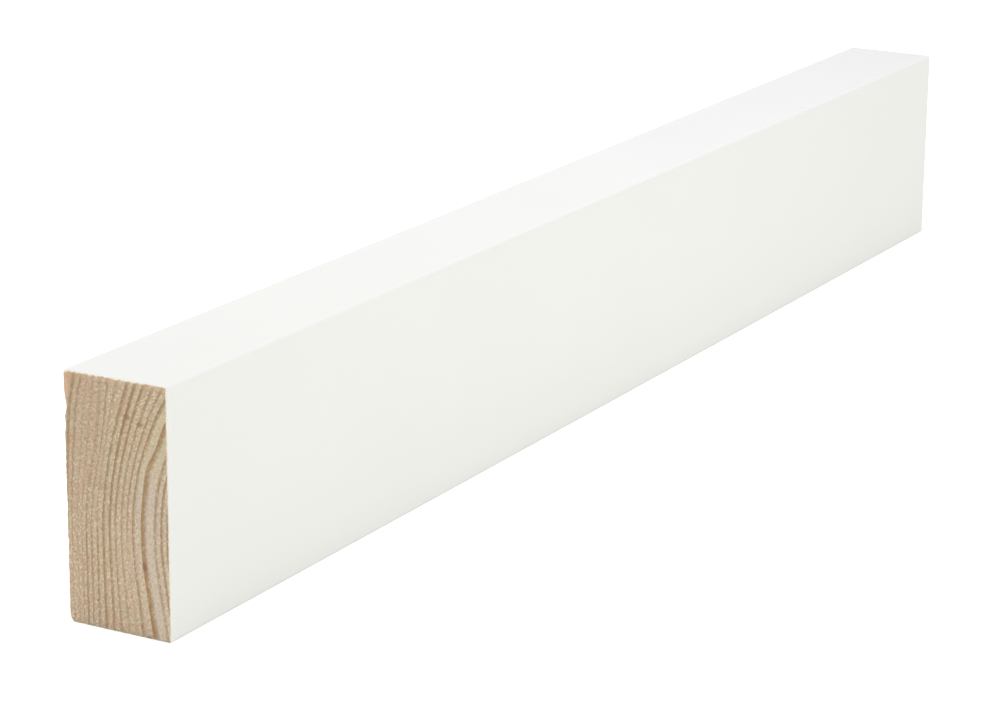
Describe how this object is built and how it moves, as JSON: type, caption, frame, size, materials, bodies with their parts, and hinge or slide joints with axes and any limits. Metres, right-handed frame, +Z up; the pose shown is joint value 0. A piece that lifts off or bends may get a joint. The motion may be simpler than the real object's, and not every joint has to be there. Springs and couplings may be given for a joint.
{
  "type": "flat trim strip",
  "caption": "Flat rectangular trim strip of planed softwood with softly eased long arrises, painted white on the face and narrow edges, raw at the sawn ends and on the back.",
  "frame": {"origin": "middle of the bottom edge's length and thickness, on the surface that the strip stands on", "axes": "+X along the length, away from the end with the ring pattern shown in the picture; -Y out of the painted face; +Z up the face's height"},
  "size_m": [0.33, 0.021, 0.045],
  "materials": {
    "painted_pine": "smooth white factory paint, satin, on the face and both narrow edges",
    "bare_pine": "raw pine, fine sawn end grain on the ends and planed grain on the back"
  },
  "bodies": {
    "root": {"trim_strip": "painted_pine"}
  },
  "joints": []
}
